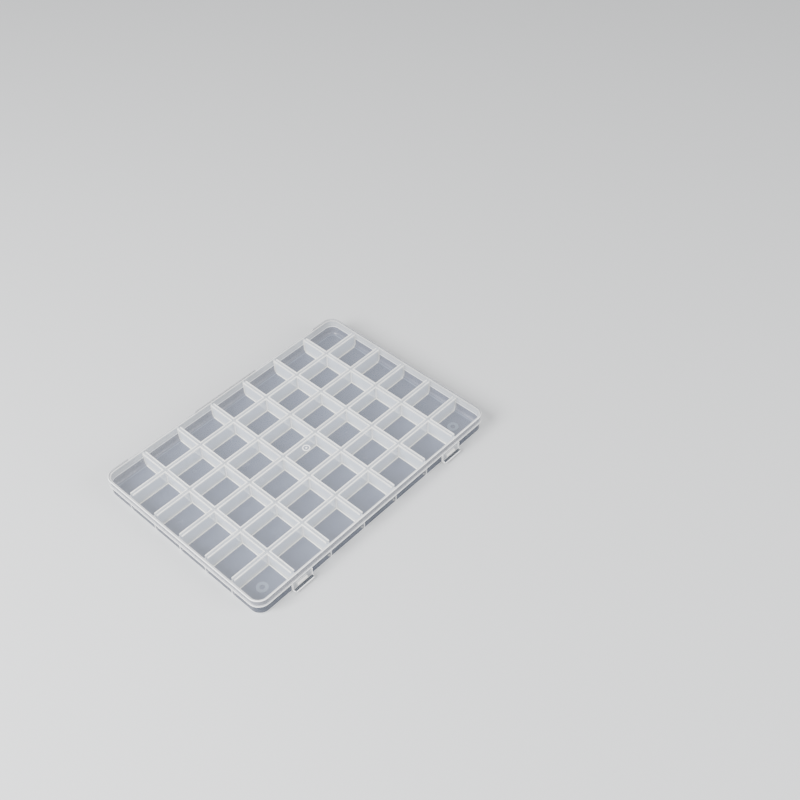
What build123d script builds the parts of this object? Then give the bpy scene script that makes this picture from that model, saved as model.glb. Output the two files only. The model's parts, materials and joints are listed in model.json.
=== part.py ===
"""Flat organizer box in clear polypropylene: a tray with a fixed grid of compartments, a lid hinged along
the back long side, and two latches on the front long side.

Frame: +X along the long side, -Y to the latches, +Z up. The origin is the centre of the tray's bottom face.
Lengths are in millimetres. The lid is modelled closed.
"""
from build123d import *
import os

os.makedirs("parts", exist_ok=True)

# Compartments
columns = 7                 # compartments along X
rows = 6                    # compartments along Y
cell_length = 36.8          # one compartment inside, along X
cell_width = 30.1           # one compartment inside, along Y
divider_wall = 1.2    # mean thickness of a divider
divider_draft = 0.2         # how much thicker than its mean a divider is at the floor, and thinner at the top

# Tray
tray_wall = 1.2
tray_floor = 1.2
tray_height = 17.1
tray_corner_radius = 9.3    # outside, seen from above
inner_curve_radius = 4.0    # where the walls run into the floor, inside
outer_edge_radius = 0.8     # where the walls run into the underside
ring_radius = 5.1           # raised ring on the floor of the two front corner compartments
ring_band = 2.9
ring_height = 0.3
ring_shift_back = 2.9       # from the middle of its compartment

# Lid
lid_thickness = 1.4
lid_rest_gap = 0.3          # between the tray's rim and the underside of the lid
skirt_depth = 8.0           # from the top of the lid to the bottom of its skirt
skirt_wall = 0.9
skirt_gap = 0.25            # between the skirt and the tray wall
lid_edge_radius = 1.0
flange_reach = 0.35         # how far the skirt's bottom flange stands out
flange_height = 1.2
flange_edge_bevel = 0.3
gate_radius = 3.5           # ring mark of the injection gate, on top of the lid
gate_band = 0.9
gate_dot_radius = 0.9
gate_depth = 0.3
gate_offset = 8.6           # from the lid's centre towards the latches

# Ribs under the lid: each compartment has a loop of them, which dips in beside the dividers
rib_wall = 0.8
rib_height = 1.1
rib_gap = 0.5               # between a rib and the divider beside it
rib_end_gap = 2.0           # between the ends of the ribs and the tray wall

# Hinge
hinge_length = 72.8         # of each gap in the skirt
hinge_inset = 24.8          # from the end of the tray to that gap
barrel_radius = 2.2
ear_radius = 2.0
ear_width = 3.0
ear_wall_gap = 0.3          # between an ear and the tray wall
hinge_end_gap = 0.3         # between the end of a barrel and an ear
pin_radius = 1.0
pin_length = 3.5
pin_clearance = 0.08
bore_depth = 4.2
flat_open_gap = 0.4         # between the lid and the table when it lies open

# Latches: flaps on the lid, each with a window that the tray's catch comes through
latch_width = 21.4
latch_inset = 45.2          # from the end of the tray to the middle of a latch
latch_shift_left = 1.6      # of the pair of latches, from the middle of the box
latch_wall = 1.0
latch_bead_radius = 0.6     # round upper edge, on the hinge line
latch_hinge_gap = 0.25      # between that edge and the flange of the skirt
latch_length = 7.5          # from the hinge line down to the middle of the lip
cheek_wall = 0.9            # side walls of a latch, which close it towards the tray
cheek_gap = 0.3             # between a side wall and the tray
lip_reach = 3.6             # how far the finger lip stands out from the hinge line
lip_wall = 1.2
lip_corner_radius = 2.0     # seen from above
lip_edge_bevel = 0.4
catch_length = 10.4
catch_reach = 2.1
catch_face = 1.2            # height of its upright front
catch_ramp = 1.7            # height of the slope above that
catch_drop = 3.7            # from the skirt down to the top of the slope
window_gap = 0.3            # around the catch

# Places that follow from the sizes above
pitch_x = cell_length + divider_wall
pitch_y = cell_width + divider_wall
inner_length = columns * pitch_x - divider_wall
inner_width = rows * pitch_y - divider_wall
tray_length = inner_length + 2 * tray_wall
tray_width = inner_width + 2 * tray_wall
lid_margin = skirt_gap + skirt_wall
lid_underside = tray_height + lid_rest_gap
lid_top = lid_underside + lid_thickness
skirt_bottom = lid_top - skirt_depth
back_wall = tray_width / 2
front_wall = -tray_width / 2
hinge_y = back_wall + ear_wall_gap + ear_radius
hinge_z = (lid_top + flat_open_gap) / 2
latch_y = front_wall - lid_margin - flange_reach / 2
latch_z = skirt_bottom - latch_hinge_gap - latch_bead_radius
catch_top = skirt_bottom - catch_drop
catch_bottom = catch_top - catch_ramp - catch_face


def slab(length, width, radius, bottom, top):
    """A block with rounded corners, seen from above, between two heights."""
    return extrude(Pos(0, 0, bottom) * RectangleRounded(length, width, radius), top - bottom)


def along_x(profile, length, centre=0.0):
    """A profile drawn in Y and Z, drawn out along X about a centre."""
    return Pos(centre, 0, 0) * extrude(Plane.YZ * profile, length / 2, both=True)


def disc(radius, y, z):
    return Pos(y, z) * Circle(radius)


def divider_x(number):
    return -inner_length / 2 + number * pitch_x - divider_wall / 2


def divider_y(number):
    return -inner_width / 2 + number * pitch_y - divider_wall / 2


def latch_x(side):
    return side * (tray_length / 2 - latch_inset) - latch_shift_left


def hinge_x(side):
    return side * (tray_length / 2 - hinge_inset - hinge_length / 2)


def cavity():
    """The inside of the tray, with the walls curving into the floor."""
    space = slab(inner_length, inner_width, tray_corner_radius - tray_wall, tray_floor, tray_height)
    return fillet(space.edges().group_by(Axis.Z)[0], inner_curve_radius)


def tray(space):
    body = slab(tray_length, tray_width, tray_corner_radius, 0, tray_height)
    body = fillet(body.edges().group_by(Axis.Z)[0], outer_edge_radius) - space
    for side in (-1, 1):
        x = side * (inner_length - cell_length) / 2
        y = -(inner_width - cell_width) / 2 + ring_shift_back
        ring = Circle(ring_radius) - Circle(ring_radius - ring_band)
        body += extrude(Pos(x, y, tray_floor) * ring, ring_height)
    return body


def divider_profile():
    """Section of a divider: thicker at the floor, so that the tray leaves its mould."""
    foot = (divider_wall + divider_draft) / 2
    head = (divider_wall - divider_draft) / 2
    corners = [(-foot, tray_floor), (foot, tray_floor), (head, tray_height), (-head, tray_height)]
    return make_face(Polyline(*corners, close=True))


def cross_plate(number):
    plate = extrude(Plane.XZ * divider_profile(), inner_width / 2, both=True)
    return Pos(divider_x(number), 0, 0) * plate


def long_plate(number):
    return along_x(Pos(divider_y(number), 0) * divider_profile(), inner_length)


def dividers(space):
    """The grid, shared out among its dividers: where two cross, the long one has the upper half."""
    middle = (tray_floor + tray_height) / 2
    half = (tray_height - tray_floor) / 2
    upper = Pos(0, 0, middle + half / 2) * Box(inner_length, inner_width, half)
    lower = Pos(0, 0, middle - half / 2) * Box(inner_length, inner_width, half)
    cross = [cross_plate(n) for n in range(1, columns)]
    long = [long_plate(n) for n in range(1, rows)]
    for number, plate in enumerate(cross, 1):
        notches = [other & upper for other in long]
        yield f"cross_divider_{number}", (plate - notches) & space
    for number, plate in enumerate(long, 1):
        notches = [other & lower for other in cross]
        yield f"long_divider_{number}", (plate - notches) & space


def lid():
    length = tray_length + 2 * lid_margin
    width = tray_width + 2 * lid_margin
    radius = tray_corner_radius + lid_margin
    body = slab(length, width, radius, skirt_bottom, lid_top)
    body = fillet(body.edges().group_by(Axis.Z)[-1], lid_edge_radius)
    flange_top = skirt_bottom + flange_height
    flange = slab(length + 2 * flange_reach, width + 2 * flange_reach, radius + flange_reach,
                  skirt_bottom, flange_top)
    body += chamfer(flange.edges().group_by(Axis.Z)[0] + flange.edges().group_by(Axis.Z)[-1],
                    flange_edge_bevel)
    body -= slab(tray_length + 2 * skirt_gap, tray_width + 2 * skirt_gap, tray_corner_radius + skirt_gap,
                 skirt_bottom, lid_underside)
    beyond = lid_margin + flange_reach
    for side in (-1, 1):
        gap = Box(hinge_length, beyond, skirt_depth)
        body -= Pos(hinge_x(side), back_wall + beyond / 2, lid_top - skirt_depth / 2) * gap
    mark = Circle(gate_radius) - Circle(gate_radius - gate_band) + Circle(gate_dot_radius)
    return body - extrude(Pos(0, -gate_offset, lid_top) * mark, -gate_depth)


def lid_ribs():
    """Loops of low rib, one for each compartment, left open along the tray wall."""
    field = Rectangle(inner_length - 2 * rib_end_gap, inner_width - 2 * rib_end_gap)
    loops = []
    for column in range(columns):
        for row in range(rows):
            left, right = loop_sides(column, columns, divider_x, inner_length)
            front, back = loop_sides(row, rows, divider_y, inner_width)
            centre = Pos((left + right) / 2, (front + back) / 2)
            outside = Rectangle(right - left, back - front)
            inside = Rectangle(right - left - 2 * rib_wall, back - front - 2 * rib_wall)
            loop = (centre * (outside - inside)) & field
            loops.append(extrude(Pos(0, 0, lid_underside) * loop, -rib_height))
    return Compound(children=[solid for loop in loops for solid in loop.solids()])


def loop_sides(number, count, divider_place, inner_span):
    """The two outer sides of a loop: beside its dividers, or past the tray wall where there is none."""
    beside = divider_wall / 2 + rib_gap
    past = inner_span / 2 + rib_wall
    low = divider_place(number) + beside if number > 0 else -past
    high = divider_place(number + 1) - beside if number < count - 1 else past
    return low, high


def hinge_barrel(side):
    """Barrel on the back of the tray, with a blind bore at each end."""
    foot = [(back_wall, hinge_z - barrel_radius), (back_wall, hinge_z + barrel_radius)]
    section = disc(barrel_radius, hinge_y, hinge_z)
    section += make_face(Polyline(foot[0], (hinge_y, foot[0][1]), (hinge_y, foot[1][1]), foot[1], close=True))
    length = hinge_length - 2 * hinge_end_gap
    centre = hinge_x(side)
    body = along_x(section, length, centre)
    for end in (-1, 1):
        bore = disc(pin_radius + pin_clearance, hinge_y, hinge_z)
        body -= along_x(bore, bore_depth, centre + end * (length - bore_depth) / 2)
    return body


def hinge_ear(side, end):
    """Ear below the skirt at one end of a hinge, with the pin that turns in the barrel."""
    skirt_inside = back_wall + skirt_gap
    flange_outside = back_wall + lid_margin + flange_reach
    section = disc(ear_radius, hinge_y, hinge_z)
    neck = [(skirt_inside, skirt_bottom), (flange_outside, skirt_bottom), (hinge_y, hinge_z),
            (hinge_y - ear_radius, hinge_z)]
    section += make_face(Polyline(*neck, close=True))
    above = Pos(skirt_inside, skirt_bottom) * Rectangle(flange_outside - skirt_inside, skirt_depth,
                                                        align=(Align.MIN, Align.MIN))
    face = hinge_x(side) + end * hinge_length / 2
    body = along_x(section - above, ear_width, face + end * ear_width / 2)
    return body + along_x(disc(pin_radius, hinge_y, hinge_z), pin_length, face - end * pin_length / 2)


def catch(side):
    """Wedge on the front wall: a slope above, and a flat underside that holds the latch."""
    outside = front_wall - catch_reach
    corners = [(front_wall, catch_bottom), (outside, catch_bottom), (outside, catch_bottom + catch_face),
               (front_wall, catch_top)]
    return along_x(make_face(Polyline(*corners, close=True)), catch_length, latch_x(side))


def latch(side):
    """Flap with a round upper edge, side walls, a window for the catch, and a finger lip below."""
    lip_z = latch_z - latch_length
    plate = Pos(latch_y, (latch_z + lip_z) / 2) * Rectangle(latch_wall, latch_length)
    body = along_x(plate + disc(latch_bead_radius, latch_y, latch_z), latch_width)

    cheek_inside = front_wall - cheek_gap
    cheek = Pos(cheek_inside, latch_z) * Rectangle(cheek_inside - latch_y, latch_length,
                                                   align=(Align.MAX, Align.MAX))
    for end in (-1, 1):
        body += along_x(cheek, cheek_wall, end * (latch_width - cheek_wall) / 2)

    window = Pos(latch_y, (catch_top + catch_bottom) / 2)
    window *= Rectangle(latch_wall, catch_top - catch_bottom + 2 * window_gap)
    body -= along_x(window, catch_length + 2 * window_gap)

    lip = Rectangle(latch_width, lip_reach, align=(Align.CENTER, Align.MAX))
    lip = fillet(lip.vertices().group_by(Axis.Y)[0], lip_corner_radius)
    lip = extrude(Pos(0, latch_y, lip_z) * lip, lip_wall / 2, both=True)
    rim = lip.edges().filter_by(Plane.XY).sort_by(Axis.Y)[:-2]     # all but the two against the plate
    body += chamfer(rim, lip_edge_bevel)
    return Pos(latch_x(side), 0, 0) * body


def all_parts():
    space = cavity()
    yield "tray", tray(space)
    yield from dividers(space)
    yield "lid", lid()
    yield "lid_ribs", lid_ribs()
    ear_number = 0
    for side, hand in ((-1, "left"), (1, "right")):
        yield f"hinge_barrel_{hand}", hinge_barrel(side)
        yield f"catch_{hand}", catch(side)
        yield f"latch_{hand}", latch(side)
        for end in (-1, 1):
            ear_number += 1
            yield f"hinge_ear_{ear_number}", hinge_ear(side, end)


for name, shape in all_parts():
    export_step(shape, f"parts/{name}.step")
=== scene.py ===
"""Looks of the flat compartment box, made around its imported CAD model.

Frame: +X along the long side, -Y to the latches, +Z up. The origin is the centre of the tray's
underside. Lengths are in metres, and those written in millimetres are multiplied by MM.
"""
import json

import bpy
from mathutils import Matrix, Vector


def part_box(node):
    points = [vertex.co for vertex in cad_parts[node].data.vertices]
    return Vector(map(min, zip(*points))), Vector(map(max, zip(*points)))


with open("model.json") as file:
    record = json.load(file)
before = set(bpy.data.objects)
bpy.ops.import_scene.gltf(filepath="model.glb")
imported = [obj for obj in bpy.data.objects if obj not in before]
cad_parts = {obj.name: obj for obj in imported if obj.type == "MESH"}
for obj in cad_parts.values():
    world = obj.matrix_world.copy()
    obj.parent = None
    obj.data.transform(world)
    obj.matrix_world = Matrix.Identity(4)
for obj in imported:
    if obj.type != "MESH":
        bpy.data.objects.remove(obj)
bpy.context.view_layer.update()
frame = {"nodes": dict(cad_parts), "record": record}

MM = 0.001

# Camera, at the photograph's place
IMAGE_SIZE = 800                    # pixels each way
SENSOR_WIDTH = 36.0                 # millimetres, as Blender takes it
FOCAL_PIXELS = 1079.84
CAMERA_PLACE = Vector((-391.0, -484.9, 703.8)) * MM
CAMERA_TARGET = Vector((95.2, -29.5, 18.2)) * MM
CAMERA_ROLL = -0.0171               # radians, about the line of sight
CAMERA_NEAR, CAMERA_FAR = 0.01, 100.0

# Studio
WORLD_STRENGTH = 0.58               # for the light that falls on the box
WORLD_SEEN = 0.72                   # for the camera, and in gloss and clear plastic
LAMP_SIZE = 0.9
KEY_PLACE, KEY_WATTS = (-1.3, 0.2, 1.1), 80.0
FILL_PLACE, FILL_WATTS = (0.5, -1.5, 0.75), 26.0
STUDIO_SIZE = 12.0
STUDIO_DROP = 0.1 * MM              # clear of the tray's underside, which would flicker through it
STUDIO_ROUGHNESS = 0.5

# Finishes: linear colour, and how much one surface hides when it is met head on
STUDIO_GREY = (0.64, 0.65, 0.66, 1.0)
FLOOR_GREY = (0.125, 0.145, 0.205, 0.85)
RING_GREY = (0.22, 0.26, 0.33, 0.85)
WALL_GREY = (0.125, 0.14, 0.20, 0.8)
# painted shade on the outside of the tray's walls, where the skirt's flange shades them
WALL_SHADE = (0.07, 0.08, 0.105, 0.72)
# painted highlight lines in the tray's walls
WALL_HIGHLIGHT = (0.97, 0.97, 0.96, 0.6)
# painted light: a pale band in the tray's inner walls beside the skirt
WALL_LIGHT = (0.66, 0.69, 0.73, 0.7)
BARREL_CLEAR = (0.80, 0.83, 0.86, 0.4)
DIVIDER_WHITE = (0.80, 0.85, 0.93, 0.5)
DIVIDER_TOP = (0.62, 0.65, 0.70, 0.6)
# painted glow where the dividers meet the floor and walls
FOOT_GLOW = (0.98, 0.97, 0.91, 1.0)
# painted highlight along edges of the tray, dividers, lid and latches
EDGE_HIGHLIGHT = (0.97, 0.97, 0.96, 1.0)
LID_CLEAR = (0.85, 0.87, 0.89, 0.05)
# painted glow on the lid's underside along the ribs
RIB_GLOW = (0.98, 0.98, 0.96, 0.5)
SKIRT_GREY = (0.27, 0.28, 0.32, 0.6)
RIB_WHITE = (0.98, 0.98, 0.96, 0.85)
LATCH_GREY = (0.55, 0.57, 0.60, 0.45)
# painted shade at the latch's lower end, between lip and plate
LATCH_SHADE = (0.08, 0.09, 0.11, 0.75)
CATCH_CREAM = (0.97, 0.95, 0.89, 0.9)

# Plastic. Noise has its scale per metre.
SHADOW_SHARE = 0.5                  # of its opacity that a surface has against the light
EDGE_POWER = 3.0                    # the higher, the nearer to edge on it turns opaque
REFRACTION = 1.49
ROUGHNESS = (0.16, 0.28)
CLOUDS = {"Scale": 60.0, "Detail": 3.0}
CLOUD_VALUES = (0.3, 0.7)           # of the noise, spread over the roughness and the shade
CLOUD_SHADE = (0.96, 1.02)
PEEL = {"Scale": 900.0, "Detail": 2.0}
PEEL_BUMP = {"Strength": 0.15, "Distance": 0.02 * MM}

# Shapes that the paint follows
TRAY_CORNER = 9.3 * MM              # radius, seen from above
WALL = 1.2 * MM                     # thickness of the tray's walls and of the dividers
INNER_CURVE = 4.0 * MM              # radius where the walls run into the floor
RIB_NEAR = 1.1 * MM                 # from the middle of a divider to the two sides of a rib beside it
RIB_FAR = 1.9 * MM
FLOOR_TOP = 1.8 * MM                # height up to which the tray's inside counts as floor
RING_TOP = (0.2 * MM, 0.4 * MM)     # above the floor

# Bands of paint, most of them lines of painted highlight and glow: their widths, or where they begin and
# end
BAND_SOFT = 0.1 * MM                # over which the edge of a band fades
UNDER = -MM                         # the lower end of a band that has none
SKIRT_LINE = 1.0 * MM               # in the tray's walls, below the lid's skirt
UPPER_LINE = (2.3 * MM, 3.0 * MM)   # in the tray's walls, above the skirt's lower edge
RIM_LINE = 0.4 * MM
BOTTOM_LINE = (0.5 * MM, 1.3 * MM)
FOOT_LINE = 0.5 * MM                # on the floor, beside each divider
END_LINE = 0.6 * MM                 # half its width, in the wall at a divider's end
END_SOFT = 0.8 * MM
CROSSING_LINE = 0.8 * MM            # beside a divider, where another crosses it
DIVIDER_FOOT_LINE = 1.0 * MM
DIVIDER_TOP_LINE = 0.8 * MM
FLANGE_LINE = 1.05 * MM
LID_EDGE_LINE = 0.8 * MM
LID_TOP_FACE = 0.12 * MM
FLAT_FACE = 0.1 * MM                # either side of a flat face, to catch it alone
GLOW_SPREAD = 0.2 * MM              # past both sides of a rib
# the latch's lower end is painted shade up to this height
LATCH_FOOT = 1.3 * MM               # height of the dark lower end
LATCH_FOOT_LINE = (1.4 * MM, 2.1 * MM)
CHEEK_LINE = 0.7 * MM
LIP_LINE = 0.45 * MM

# Sockets of a colour Mix node, which share their names with others
MIX_FIRST, MIX_SECOND, MIX_RESULT = 6, 7, 2

nodes = frame["nodes"]
bodies = frame["record"]["behaviour"]["bodies"]
tray_low, tray_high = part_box("tray")
lid_low, lid_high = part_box("lid")
rib_low, rib_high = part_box("lid_ribs")
divider_low, divider_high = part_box("long_divider_1")
cross_middles, long_middles = ([(low[axis] + high[axis]) / 2 for low, high in
                                (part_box(f"{kind}_divider_{number}") for number in (1, 2))]
                               for kind, axis in (("cross", 0), ("long", 1)))


class Tree:
    """Short ways to add and join shader nodes."""

    def __init__(self, owner):
        owner.use_nodes = True
        self.links = owner.node_tree.links
        self.nodes = owner.node_tree.nodes

    def join(self, value, socket):
        if isinstance(value, bpy.types.NodeSocket):
            self.links.new(value, socket)
        elif isinstance(value, tuple):
            socket.default_value = value[:len(socket.default_value)]
        else:
            socket.default_value = value

    def add(self, kind, inputs=None, **settings):
        node = self.nodes.new("ShaderNode" + kind)
        for name, value in settings.items():
            setattr(node, name, value)
        for name, value in (inputs or {}).items():
            self.join(value, node.inputs[name])
        return node

    def math(self, operation, first, second=0.0, clamp=True):
        node = self.add("Math", {0: first, 1: second}, operation=operation, use_clamp=clamp)
        return node.outputs["Value"]

    def vector(self, operation, first, second=(0, 0, 0)):
        return self.add("VectorMath", {0: first, 1: second}, operation=operation).outputs["Vector"]

    def length(self, vector):
        return self.add("VectorMath", {0: vector}, operation="LENGTH").outputs["Value"]

    def spread(self, value, low, high, new_low=0.0, new_high=1.0):
        inputs = {"Value": value, "From Min": low, "From Max": high,
                  "To Min": new_low, "To Max": new_high}
        return self.add("MapRange", inputs).outputs["Result"]

    def band(self, value, low, high, soft=BAND_SOFT):
        """1 between two values, and 0 outside them."""
        up = self.spread(value, low - soft / 2, low + soft / 2)
        down = self.spread(value, high - soft / 2, high + soft / 2, 1.0, 0.0)
        return self.math("MULTIPLY", up, down)

    def from_nearest(self, value, middles):
        """Distance from a row of evenly spaced middles, of which the first two are given."""
        first, second = middles
        start = self.math("SUBTRACT", value, first, clamp=False)
        return self.math("PINGPONG", start, (second - first) / 2, clamp=False)

    def depth(self, place, low, high, radius):
        """How far a place is inside an upright outline with rounded corners, at any height under 1 m."""
        straight = ((high.x - low.x) / 2 - radius, (high.y - low.y) / 2 - radius, 1.0)
        beyond = self.vector("SUBTRACT", self.vector("ABSOLUTE", place), straight)
        beyond = self.vector("MAXIMUM", beyond)
        return self.math("SUBTRACT", radius, self.length(beyond), clamp=False)


def add_camera():
    data = bpy.data.cameras.new("camera")
    data.sensor_width = SENSOR_WIDTH
    data.lens = FOCAL_PIXELS / IMAGE_SIZE * SENSOR_WIDTH
    data.clip_start = CAMERA_NEAR
    data.clip_end = CAMERA_FAR
    camera = bpy.data.objects.new("camera", data)
    bpy.context.scene.collection.objects.link(camera)
    place = Matrix.Translation(CAMERA_PLACE)
    turn = (CAMERA_TARGET - CAMERA_PLACE).to_track_quat("-Z", "Y").to_matrix().to_4x4()
    camera.matrix_world = place @ turn @ Matrix.Rotation(CAMERA_ROLL, 4, "Z")
    bpy.context.scene.camera = camera


def add_lamp(name, place, watts):
    """A square soft box that points at the middle of the box."""
    data = bpy.data.lights.new(name, "AREA")
    data.size = LAMP_SIZE
    data.energy = watts
    lamp = bpy.data.objects.new(name, data)
    lamp.location = place
    lamp.rotation_mode = "QUATERNION"
    lamp.rotation_quaternion = (-Vector(place)).to_track_quat("-Z", "Y")
    bpy.context.scene.collection.objects.link(lamp)


def add_studio():
    world = bpy.data.worlds.new("studio")
    t = Tree(world)
    path = t.add("LightPath").outputs
    seen = t.math("MAXIMUM", path["Is Camera Ray"], path["Is Glossy Ray"])
    seen = t.math("MAXIMUM", seen, path["Is Transmission Ray"])
    t.nodes["Background"].inputs["Color"].default_value = (1.0, 1.0, 1.0, 1.0)
    strength = t.spread(seen, 0.0, 1.0, WORLD_STRENGTH, WORLD_SEEN)
    t.join(strength, t.nodes["Background"].inputs["Strength"])
    bpy.context.scene.world = world
    add_lamp("key", KEY_PLACE, KEY_WATTS)
    add_lamp("fill", FILL_PLACE, FILL_WATTS)

    bpy.ops.mesh.primitive_plane_add(size=STUDIO_SIZE)
    floor = bpy.context.object
    floor.name = "studio_floor"
    floor.location.z = -STUDIO_DROP
    material = bpy.data.materials.new("floor_paint")
    material.use_nodes = True
    shader = material.node_tree.nodes["Principled BSDF"]
    shader.inputs["Base Color"].default_value = STUDIO_GREY
    shader.inputs["Roughness"].default_value = STUDIO_ROUGHNESS
    floor.data.materials.append(material)


class Paint:
    """A colour with its opacity, either of which may be a node's output."""

    def __init__(self, t, finish):
        self.t = t
        self.colour = finish
        self.opacity = finish[3]

    def over(self, mask, finish):
        """Puts another finish where the mask is 1."""
        t = self.t
        mix = t.add("Mix", data_type="RGBA")
        t.join(mask, mix.inputs["Factor"])
        t.join(self.colour, mix.inputs[MIX_FIRST])
        t.join(finish, mix.inputs[MIX_SECOND])
        self.colour = mix.outputs[MIX_RESULT]
        self.opacity = t.spread(mask, 0.0, 1.0, self.opacity, finish[3])


def plastic(name, paint_on):
    """Milky moulded plastic: clouded, faintly uneven, and more opaque where it is seen edge on.

    It scatters most light onwards, so its shadows are weaker than its looks.
    """
    material = bpy.data.materials.new(name)
    t = Tree(material)
    place = t.add("TexCoord").outputs["Object"]
    axes = t.add("SeparateXYZ", {"Vector": place}).outputs
    paint = paint_on(t, place, axes)
    cloud = t.add("TexNoise", {"Vector": place, **CLOUDS}).outputs["Fac"]
    shade = t.spread(cloud, *CLOUD_VALUES, *CLOUD_SHADE)
    tinted = t.add("VectorMath", {0: paint.colour, "Scale": shade}, operation="SCALE")
    peel = t.add("TexNoise", {"Vector": place, **PEEL}).outputs["Fac"]
    bump = t.add("Bump", {"Height": peel, **PEEL_BUMP})
    shader = t.nodes["Principled BSDF"]
    t.join(tinted.outputs["Vector"], shader.inputs["Base Color"])
    t.join(t.spread(cloud, *CLOUD_VALUES, *ROUGHNESS), shader.inputs["Roughness"])
    t.join(bump.outputs["Normal"], shader.inputs["Normal"])
    shader.inputs["IOR"].default_value = REFRACTION
    facing = t.add("LayerWeight").outputs["Facing"]
    share = t.math("MAXIMUM", paint.opacity, t.math("POWER", facing, EDGE_POWER))
    passing = t.spread(t.add("LightPath").outputs["Is Shadow Ray"], 0.0, 1.0, 1.0, SHADOW_SHARE)
    share = t.math("MULTIPLY", share, passing)
    clear = t.add("BsdfTransparent").outputs["BSDF"]
    mix = t.add("MixShader", {"Fac": share, 1: clear, 2: shader.outputs["BSDF"]})
    t.join(mix.outputs["Shader"], t.nodes["Material Output"].inputs["Surface"])
    return material


def dress(names, material):
    for name in names:
        mesh = nodes[name].data
        mesh.materials.clear()
        mesh.materials.append(material)


def tray_paint(t, place, axes):
    """Grey inside, with painted shade outside under the flange, a pale band of painted light beside the
    skirt, and lines of painted highlight and glow at its edges and dividers.
    """
    depth = t.depth(place, tray_low, tray_high, TRAY_CORNER)
    paint = Paint(t, WALL_GREY)
    # painted light: a pale band high in the walls, beside the skirt
    paint.over(t.band(axes["Z"], lid_low.z - SKIRT_LINE, lid_high.z), WALL_LIGHT)
    # painted highlight: a bright line in the walls just below the skirt's lower edge
    paint.over(t.band(axes["Z"], lid_low.z - SKIRT_LINE, lid_low.z), EDGE_HIGHLIGHT)
    # painted highlight: a second line above the skirt's lower edge
    paint.over(t.band(axes["Z"], *(lid_low.z + rise for rise in UPPER_LINE)), WALL_HIGHLIGHT)
    # painted shade on the outer face of the walls
    paint.over(t.band(depth, -WALL / 2, WALL / 2), WALL_SHADE)

    inside = t.band(depth, 2 * WALL, tray_high.x)
    on_floor = t.math("MULTIPLY", inside, t.band(axes["Z"], UNDER, FLOOR_TOP))
    from_cross = t.from_nearest(axes["X"], cross_middles)
    from_long = t.from_nearest(axes["Y"], long_middles)
    nearest = t.math("MINIMUM", from_cross, from_long, clamp=False)
    paint.over(on_floor, FLOOR_GREY)
    paint.over(t.band(axes["Z"], *(divider_low.z + rise for rise in RING_TOP)), RING_GREY)
    # painted glow on the floor beside each divider's foot
    by_foot = t.band(nearest, UNDER, WALL / 2 + FOOT_LINE)
    paint.over(t.math("MULTIPLY", on_floor, by_foot), FOOT_GLOW)

    outward_x, outward_y = (t.math("ABSOLUTE", axes[name], clamp=False) for name in "XY")
    on_ends = t.band(outward_x, tray_high.x - 2 * WALL, lid_high.x)
    on_sides = t.band(outward_y, tray_high.y - 2 * WALL, lid_high.x)
    # painted highlight ticks in the side and end walls, at the dividers' ends
    by_cross = t.math("MULTIPLY", on_sides, t.band(from_cross, UNDER, END_LINE, END_SOFT))
    by_long = t.math("MULTIPLY", on_ends, t.band(from_long, UNDER, END_LINE, END_SOFT))
    paint.over(t.math("MAXIMUM", by_cross, by_long), WALL_HIGHLIGHT)
    # painted highlight along the bottom of the outside walls
    outside = t.band(depth, UNDER, WALL)
    paint.over(t.math("MULTIPLY", outside, t.band(axes["Z"], *BOTTOM_LINE)), EDGE_HIGHLIGHT)
    # painted highlight along the tray's rim
    paint.over(t.band(axes["Z"], tray_high.z - RIM_LINE, lid_high.z), WALL_HIGHLIGHT)
    return paint


def divider_paint(t, place, axes):
    """Milky, with painted glow round the foot and a painted highlight where two dividers cross."""
    near = WALL / 2 + CROSSING_LINE
    by_cross = t.band(t.from_nearest(axes["X"], cross_middles), UNDER, near)
    by_long = t.band(t.from_nearest(axes["Y"], long_middles), UNDER, near)
    depth = t.depth(place, tray_low, tray_high, TRAY_CORNER)
    to_wall = t.math("SUBTRACT", INNER_CURVE + WALL, depth, clamp=False)
    to_floor = t.math("SUBTRACT", INNER_CURVE + divider_low.z, axes["Z"], clamp=False)
    curve = t.add("CombineXYZ", {"X": t.math("MAXIMUM", to_wall, 0.0, clamp=False),
                                 "Y": t.math("MAXIMUM", to_floor, 0.0, clamp=False)})
    from_curve = t.length(curve.outputs["Vector"])
    paint = Paint(t, DIVIDER_WHITE)
    # painted highlight where two dividers cross
    paint.over(t.math("MULTIPLY", by_cross, by_long), EDGE_HIGHLIGHT)
    # painted glow round the foot, along the curve into the floor and walls
    paint.over(t.band(from_curve, INNER_CURVE - DIVIDER_FOOT_LINE, 3 * INNER_CURVE), FOOT_GLOW)
    paint.over(t.band(axes["Z"], divider_high.z - DIVIDER_TOP_LINE, lid_high.z), DIVIDER_TOP)
    return paint


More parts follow.
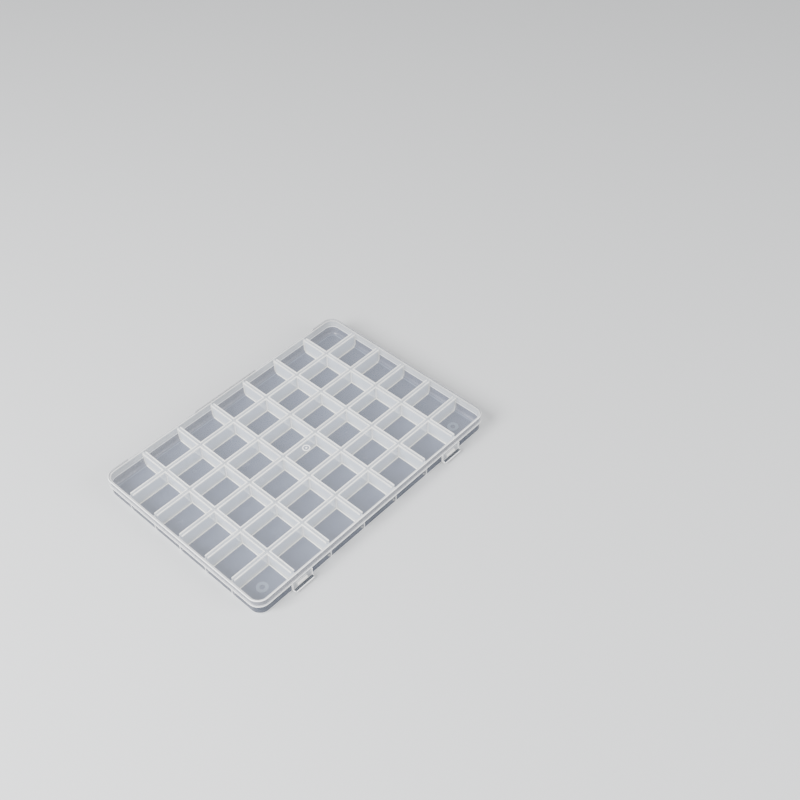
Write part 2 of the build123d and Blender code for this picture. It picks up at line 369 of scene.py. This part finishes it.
def lid_paint(t, place, axes):
    """Clear on top with painted glow along the ribs, and a greyer skirt between painted highlights on
    the edge and flange.
    """
    underside = rib_high.z
    from_cross = t.from_nearest(axes["X"], cross_middles)
    from_long = t.from_nearest(axes["Y"], long_middles)
    nearest = t.math("MINIMUM", from_cross, from_long, clamp=False)
    above = lid_high.z + MM
    inside = t.band(t.depth(place, tray_low, tray_high, TRAY_CORNER), 3 * WALL, tray_high.x)
    by_rib = t.band(nearest, RIB_NEAR - GLOW_SPREAD, RIB_FAR + GLOW_SPREAD)
    along_ribs = t.math("MULTIPLY", inside, by_rib)
    on_underside = t.band(axes["Z"], underside - FLAT_FACE, underside + FLAT_FACE)
    paint = Paint(t, SKIRT_GREY)
    # painted highlights along the flange and the lid's rounded top edge
    paint.over(t.band(axes["Z"], lid_low.z + UNDER, lid_low.z + FLANGE_LINE), EDGE_HIGHLIGHT)
    paint.over(t.band(axes["Z"], lid_high.z - LID_EDGE_LINE, above), EDGE_HIGHLIGHT)
    paint.over(on_underside, LID_CLEAR)
    paint.over(t.band(axes["Z"], lid_high.z - LID_TOP_FACE, above), LID_CLEAR)
    # painted glow along the ribs, on the underside
    paint.over(t.math("MULTIPLY", on_underside, along_ribs), RIB_GLOW)
    return paint


def latch_paint(side):
    low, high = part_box(f"latch_{side}")
    middle = (low.x + high.x) / 2
    half = (high.x - low.x) / 2

    def paint_on(t, place, axes):
        paint = Paint(t, LATCH_GREY)
        across = t.math("SUBTRACT", axes["X"], middle, clamp=False)
        from_middle = t.math("ABSOLUTE", across, clamp=False)
        # painted shade at the latch's lower end
        paint.over(t.band(axes["Z"], low.z + UNDER, low.z + LATCH_FOOT), LATCH_SHADE)
        # painted highlights on the cheeks, the lip's edge and a line above the shaded foot
        paint.over(t.band(from_middle, half - CHEEK_LINE, half + MM), EDGE_HIGHLIGHT)
        paint.over(t.band(axes["Y"], low.y + UNDER, low.y + LIP_LINE), EDGE_HIGHLIGHT)
        paint.over(t.band(axes["Z"], *(low.z + rise for rise in LATCH_FOOT_LINE)), EDGE_HIGHLIGHT)
        return paint

    return paint_on


def plain_paint(finish):
    return lambda t, place, axes: Paint(t, finish)


add_camera()
add_studio()
dress(bodies["tray"], plastic("tray_plastic", tray_paint))
dress([name for name in nodes if "divider" in name], plastic("divider_plastic", divider_paint))
dress([name for name in nodes if "catch" in name], plastic("catch_plastic", plain_paint(CATCH_CREAM)))
dress(bodies["lid"], plastic("lid_plastic", lid_paint))
dress([name for name in nodes if "hinge" in name], plastic("hinge_plastic", plain_paint(BARREL_CLEAR)))
dress(["lid_ribs"], plastic("rib_plastic", plain_paint(RIB_WHITE)))
for side in ("left", "right"):
    dress([f"latch_{side}"], plastic(f"latch_{side}_plastic", latch_paint(side)))
